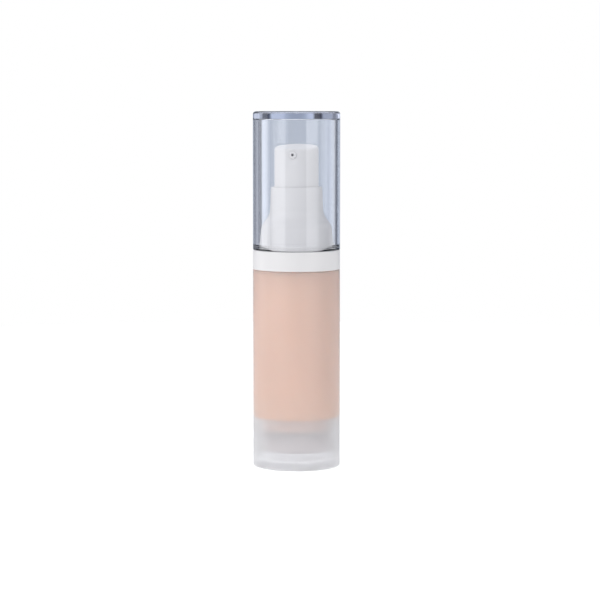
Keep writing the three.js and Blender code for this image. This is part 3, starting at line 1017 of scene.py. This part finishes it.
@dataclass
class Collar:
    """The white moulding on the bottle's neck: band, ledge for the overcap, bell and neck."""

    skirt_wall: float = 0.9
    ledge_wall: float = 0.9
    land_inset: float = 2.2
    land_height: float = 2.7
    bead: float = 0.1
    bell_inset: float = 0.2
    bell_rise: float = 4.9
    bell_draft: float = 6.0
    bell_radius: float = 4.5
    slope: float = 40.0
    throat_radius: float = 5.6
    neck_flare: float = 0.35
    neck_wall: float = 1.05
    bell_wall: float = 1.2
    button_gap: float = 0.25
    catch: float = 0.25
    edge: float = 0.25
    shell: Extent = extent_of("shoulder_collar")
    cap: Extent = extent_of("overcap")
    button: Extent = extent_of("push_button")
    mouth: Extent = extent_of("bottle_body")

    def build(self) -> None:
        """Makes and dresses the collar."""
        place(self.moulding(), "shoulder_collar", "bottle", Finishes.WHITE)

    @property
    def ledge(self) -> float:
        """Height of the ledge that the overcap stands on."""
        return self.cap.bottom - 0.05

    @property
    def land(self) -> float:
        """Radius of the land inside the overcap."""
        return self.shell.radius - self.land_inset

    def bell(self, inward: float) -> list[Corner]:
        """Works out the bell: a drafted foot, a round shoulder, a slope, and a throat into the neck.

        Args:
            inward: how far inside the outer surface it runs.

        Returns:
            Its corners, from foot to neck.
        """
        draft, slope = math.radians(self.bell_draft), math.radians(self.slope)
        land_top = self.ledge + self.land_height
        foot = Vector((self.land - self.bell_inset, land_top))
        rise = self.bell_rise + self.bell_radius * math.tan((slope - draft) / 2) * math.cos(draft)
        shoulder = foot + Vector((-rise * math.tan(draft), rise))
        neck = self.button.radius + self.button_gap + self.neck_wall + self.neck_flare
        run = shoulder.x - neck
        throat = shoulder + Vector((-run, run / math.tan(slope)))
        level, drafted, sloped = (
            Vector((math.cos(angle), math.sin(angle))) for angle in (0, draft, slope)
        )
        shoulder -= inward * (drafted + sloped) / (1 + drafted.dot(sloped))
        throat -= inward * (sloped + level) / (1 + sloped.dot(level))
        return [
            (foot.x - inward, foot.y),
            (*shoulder, self.bell_radius - inward),
            (*throat, self.throat_radius + inward),
        ]

    def moulding(self) -> Object:
        """Makes the collar in one piece, with the wall that follows the bell inside."""
        outer, foot, rim = self.shell.radius, self.shell.bottom, self.shell.top
        ledge, land = self.ledge, self.land
        skirt = outer - self.skirt_wall
        neck_bore = self.button.radius + self.button_gap
        neck = neck_bore + self.neck_wall
        under = ledge - self.ledge_wall
        bead_middle = ledge + self.land_height / 2
        catch_top = self.mouth.top - 1.45
        return turned("white_collar", 192, (
            (skirt, foot, 0.15),
            (outer, foot, self.edge),
            (outer, ledge, self.edge),
            (land, ledge, 0.12),
            (land, bead_middle - 3 * self.bead, 0.1),
            (land + self.bead, bead_middle, 0.25),
            (land, bead_middle + 3 * self.bead, 0.1),
            (land, ledge + self.land_height, 0.2),
            *self.bell(0),
            (neck, rim, 0.3),
            (neck_bore, rim, 0.2),
            (neck_bore, rim - 8.2, 0.3),
            *reversed(self.bell(self.bell_wall)),
            (land - self.bell_inset - self.bell_wall, under, 0.15),
            (skirt, under, 0.15),
            (skirt, catch_top, 0.04),
            (skirt - self.catch, catch_top, 0.08),
            (skirt, catch_top - 0.9, 0.1),
        )).finish()


@dataclass
class Button:
    """The push button, whose top falls towards its nozzle, and the nozzle's insert."""

    wall: float = 1.2
    crown: float = 2.2
    edge: float = 1.0
    slope: float = 6.5
    boss_wall: float = 1.2
    boss_below_top: float = 11.5
    channel: float = 1.0
    cross_channel: float = 0.9
    socket_gap: float = 0.06
    orifice: float = 0.4
    insert_bore: float = 0.9
    insert_face: float = 0.8
    shell: Extent = extent_of("push_button")
    stem: Extent = extent_of("pump_stem")
    insert: Extent = extent_of("nozzle_insert")

    def build(self) -> None:
        """Makes and dresses the two pieces."""
        place(self.shell_with_boss(), "push_button", "button", Finishes.WHITE)
        place(self.nozzle(), "nozzle_insert", "button", Finishes.WHITE)

    @property
    def nozzle_height(self) -> float:
        """Height of the nozzle's axis."""
        return (self.insert.bottom + self.insert.top) / 2

    @property
    def reach(self) -> tuple[float, float]:
        """How far in front of the axis the insert's face and back are."""
        low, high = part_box("nozzle_insert")
        return -low.y / MM, -high.y / MM

    def lay(self, shape: Shape, angle: float) -> None:
        """Turns an upright shape about X and lifts it to the nozzle's height."""
        raised = Matrix.Translation((0, 0, self.nozzle_height))
        shape.move(shape.bm.verts, raised @ Matrix.Rotation(angle, 4, "X"))

    def rod(self, name: str, radius: float, start: float, end: float) -> Object:
        """Makes a round bar along Y at the nozzle's height.

        Args:
            name: its name.
            radius: its radius.
            start: its first y.
            end: its last y.

        Returns:
            The object.
        """
        shape = turned(name, 64, ((0, start), (radius, start), (radius, end), (0, end)))
        self.lay(shape, -math.pi / 2)
        return shape.finish(weighted=False)

    def shell_with_boss(self) -> Object:
        """Makes the button: sleeve, sloping crown, boss on the stem, and the bores to the nozzle."""
        outer, bottom = self.shell.radius, self.shell.bottom
        tilt = math.tan(math.radians(self.slope))
        crown_top = self.shell.top - (outer - 0.9) * tilt
        ceiling = crown_top - self.crown
        socket = self.stem.radius + 0.1
        boss = socket + self.boss_wall
        boss_foot = crown_top - self.boss_below_top
        inside = outer - self.wall
        shape = turned("press_button", 160, (
            (self.channel, self.stem.top + 0.05, 0.05),
            (socket, self.stem.top + 0.05, 0.05),
            (socket, boss_foot, 0.2),
            (boss, boss_foot, 0.15),
            (boss, ceiling, 0.4),
            (inside, ceiling, 0.6),
            (inside, bottom, 0.2),
            (outer, bottom, 0.25),
            (outer, crown_top, self.edge),
            (0, crown_top),
            (0, self.nozzle_height + self.channel),
            (self.channel, self.nozzle_height + self.channel, 0.2),
        ))
        sloped = [vert for vert in shape.bm.verts if vert.co.z > crown_top - self.edge - TOUCHING]
        slant = Matrix.Identity(4)
        slant[2][1] = tilt
        shape.move(sloped, slant)
        made = shape.finish()
        front, back = self.reach
        socket = self.insert.radius + self.socket_gap
        cut(made, self.rod("socket_tool", socket, -2 * front, 0.05 - back))
        cut(made, self.rod("channel_tool", self.cross_channel, -1.5 * front, 0.1))
        return made

    def nozzle(self) -> Object:
        """Makes the insert, with a countersunk orifice in its face."""
        front, back = self.reach
        radius = self.insert.radius
        shape = turned("nozzle", 80, (
            (self.orifice, front - self.insert_face, 0.05),
            (self.insert_bore, front - self.insert_face, 0.1),
            (self.insert_bore, back, 0.1),
            (radius, back, 0.2),
            (radius, front, 0.3),
            (self.orifice + 0.25, front, 0.08),
            (self.orifice, front - 0.25, 0.05),
        ))
        self.lay(shape, math.pi / 2)
        return shape.finish()


@dataclass
class Overcap:
    """The clear cap, with a thick wall, a gate mark under its top and a groove for the collar's bead."""

    wall: float = 1.95
    top: float = 2.6
    edge: float = 1.0
    inner_edge: float = 0.5
    rim: float = 0.3
    lead_in: float = 0.5
    groove: float = 0.22
    groove_height: float = 1.4
    gate_radius: float = 0.7
    gate_drop: float = 0.35
    shell: Extent = extent_of("overcap")

    def build(self) -> None:
        """Makes and dresses the overcap."""
        place(self.moulding(), "overcap", "cap", Finishes.CLEAR)

    def moulding(self) -> Object:
        """Makes the cap in one piece."""
        outer, foot, top = self.shell.radius, self.shell.bottom, self.shell.top
        inner = outer - self.wall
        ceiling = top - self.top
        groove = foot + self.groove_height
        return turned("clear_overcap", 224, (
            (inner + self.lead_in, foot, 0.1),
            (outer, foot, self.rim),
            (outer, top, self.edge),
            (0, top),
            (0, ceiling - self.gate_drop),
            (self.gate_radius, ceiling - self.gate_drop, 0.25),
            (self.gate_radius + 0.3, ceiling, 0.2),
            (inner, ceiling, self.inner_edge),
            (inner, groove + 0.55, 0.2),
            (inner + self.groove, groove, 0.3),
            (inner, groove - 0.45, 0.1),
            (inner, foot + 0.75, 0.1),
        )).finish()


# ---------------------------------------------------------------- studio


@dataclass(frozen=True)
class Softbox:
    """A soft lamp that faces the object."""

    name: str
    bearing: float
    distance: float
    width: float
    height: float
    power: float
    raised: float = 0.0

    def add(self, target: Vector, view_bearing: float) -> None:
        """Adds the lamp.

        Args:
            target: what it points at.
            view_bearing: the camera's bearing about Z, which its own is counted from.
        """
        data = bpy.data.lights.new(self.name, "AREA")
        data.shape = "RECTANGLE"
        data.size, data.size_y = self.width, self.height
        data.energy = self.power
        lamp = bpy.data.objects.new(self.name, data)
        angle = view_bearing + math.radians(self.bearing)
        lamp.location = target + Vector((
            self.distance * math.sin(angle), -self.distance * math.cos(angle), self.raised,
        ))
        lamp.rotation_euler = (lamp.location - target).to_track_quat("Z", "Y").to_euler()
        lamp.visible_camera = False
        bpy.context.scene.collection.objects.link(lamp)


@dataclass
class Studio:
    """A pale floor, soft light from both sides that is stronger on the left, and the camera."""

    view_bearing: float = 10.5
    distance: float = 753.7 * MM
    eye_height: float = 129.4 * MM
    downward: float = 5.309
    focal_length: float = 127.1
    sideways: float = 0.00575
    floor_radius: float = 500.0
    ambient: tuple = (0.42, 0.425, 0.435)
    room: tuple = (
        (-180, (0.80, 0.84, 0.92)), (-130, (0.80, 0.84, 0.92)), (-110, (0.58, 0.62, 0.70)),
        (-80, (0.42, 0.45, 0.52)), (-61, (0.42, 0.45, 0.52)),
        (-57, (0.16, 0.17, 0.21)), (-49, (0.16, 0.17, 0.21)),
        (-45, (0.50, 0.53, 0.60)), (-29, (0.46, 0.49, 0.56)),
        (-26, (0.02, 0.02, 0.04)), (-18, (0.02, 0.02, 0.04)),
        (-16, (0.68, 0.74, 0.86)), (-13, (0.68, 0.74, 0.86)),
        (-5, (0.42, 0.465, 0.55)), (5, (0.42, 0.465, 0.55)),
        (14, (0.64, 0.70, 0.82)), (26, (0.64, 0.70, 0.82)),
        (30, (0.04, 0.05, 0.08)), (41, (0.04, 0.05, 0.08)),
        (44, (0.42, 0.45, 0.52)), (80, (0.42, 0.45, 0.52)),
        (110, (0.58, 0.62, 0.70)), (130, (0.80, 0.84, 0.92)), (180, (0.80, 0.84, 0.92)),
    )
    lamps: tuple = (
        Softbox("front_left_softbox", -50, 0.6, 0.46, 0.8, 1.14, raised=0.2),
        Softbox("front_right_softbox", 44, 0.6, 0.42, 0.8, 0.92, raised=0.2),
        Softbox("side_left_softbox", -98, 0.6, 0.38, 0.8, 1.16, raised=0.15),
        Softbox("side_right_softbox", 118, 0.6, 0.30, 0.8, 0.36, raised=0.15),
        Softbox("top_softbox", -20, 0.2, 0.5, 0.5, 0.92, raised=0.6),
    )

    def build(self) -> None:
        """Adds the floor, the lamps, the surroundings and the camera."""
        low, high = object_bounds()
        middle = (Vector(low) + Vector(high)) / 2
        for lamp in self.lamps:
            lamp.add(middle, math.radians(self.view_bearing))
        self.floor()
        self.surroundings()
        self.camera()
        bpy.context.scene.view_settings.view_transform = "Standard"

    def floor(self) -> None:
        """Adds the pale floor, which runs into the white background."""
        shape = Shape("pale_floor")
        bmesh.ops.create_circle(shape.bm, cap_ends=True, radius=self.floor_radius, segments=96)
        made = shape.finish(weighted=False)
        shader = Shader("pale_floor_paint", Roughness=0.7, Emission_Color=(1, 1, 1, 1))
        paint = shader.noise(300, 2)
        shader.tone(paint, (0.48, 0.48, 0.49), (0.50, 0.50, 0.51))
        path = shader.node("ShaderNodeLightPath")
        glow = shader.node("ShaderNodeMapRange", To_Min=0.6, To_Max=0.75)
        shader.link(path.outputs["Is Camera Ray"], glow.inputs["Value"])
        shader.link(glow.outputs["Result"], shader.principled.inputs["Emission Strength"])
        made.data.materials.append(shader.material)
        made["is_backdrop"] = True

    def surroundings(self) -> None:
        """Makes the background white to the camera, and a soft grey room to everything else.

        What is seen through clear pieces and in their gloss is the lit backdrop, dark gaps on both
        sides of it and the grey room beyond. Bearings are counted from straight behind the object.
        """
        world = bpy.data.worlds.new("studio")
        bpy.context.scene.world = world
        world.use_nodes = True
        world.node_tree.nodes.clear()
        tree = Tree(world.node_tree)
        path = tree.node("ShaderNodeLightPath")
        direction = tree.node("ShaderNodeTexCoord")
        turn = tree.node("ShaderNodeMapping", Rotation=(0, 0, -math.radians(self.view_bearing)))
        parts = tree.node("ShaderNodeSeparateXYZ")
        bearing = tree.node("ShaderNodeMath")
        bearing.operation = "ARCTAN2"
        share = tree.node("ShaderNodeMapRange", From_Min=-math.pi, From_Max=math.pi)
        room = tree.node("ShaderNodeValToRGB")
        elements = room.color_ramp.elements
        while len(elements) < len(self.room):
            elements.new(0.5)
        for element, (angle, colour) in zip(elements, self.room):
            element.position = 0.5 + angle / 360
            element.color = (*colour, 1)
        plain = tree.node("ShaderNodeBackground", Color=(*self.ambient, 1))
        seen = tree.node("ShaderNodeBackground")
        white = tree.node("ShaderNodeBackground", Color=(1, 1, 1, 1))
        inner = tree.node("ShaderNodeMixShader")
        outer = tree.node("ShaderNodeMixShader")
        output = tree.node("ShaderNodeOutputWorld")
        for source, target in (
            (direction.outputs["Generated"], turn.inputs["Vector"]),
            (turn.outputs["Vector"], parts.inputs["Vector"]),
            (parts.outputs["X"], bearing.inputs[0]),
            (parts.outputs["Y"], bearing.inputs[1]),
            (bearing.outputs["Value"], share.inputs["Value"]),
            (share.outputs["Result"], room.inputs["Fac"]),
            (room.outputs["Color"], seen.inputs["Color"]),
            (path.outputs["Diffuse Depth"], inner.inputs["Fac"]),
            (seen.outputs["Background"], inner.inputs[1]),
            (plain.outputs["Background"], inner.inputs[2]),
            (path.outputs["Is Camera Ray"], outer.inputs["Fac"]),
            (inner.outputs["Shader"], outer.inputs[1]),
            (white.outputs["Background"], outer.inputs[2]),
            (outer.outputs["Shader"], output.inputs["Surface"]),
        ):
            tree.link(source, target)

    def camera(self) -> None:
        """Adds the camera, level with the overcap's top and turned a little down."""
        data = bpy.data.cameras.new("camera")
        data.sensor_width = 36.0
        data.lens = self.focal_length
        data.shift_x = self.sideways
        data.clip_start = 0.01
        camera = bpy.data.objects.new("camera", data)
        bearing = math.radians(self.view_bearing)
        camera.location = (
            self.distance * math.sin(bearing), -self.distance * math.cos(bearing), self.eye_height,
        )
        camera.rotation_euler = (math.radians(90 - self.downward), 0, bearing)
        bpy.context.scene.collection.objects.link(camera)
        bpy.context.scene.camera = camera


def main() -> None:
    """Builds the sub-assemblies in order."""
    logging.basicConfig(level=logging.INFO, format="%(name)s: %(message)s")
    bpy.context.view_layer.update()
    for assembly in (Bottle(), PumpMount(), PumpEngine(), Collar(), Button(), Overcap(), Studio()):
        assembly.build()


if __name__ == "__main__":
    main()
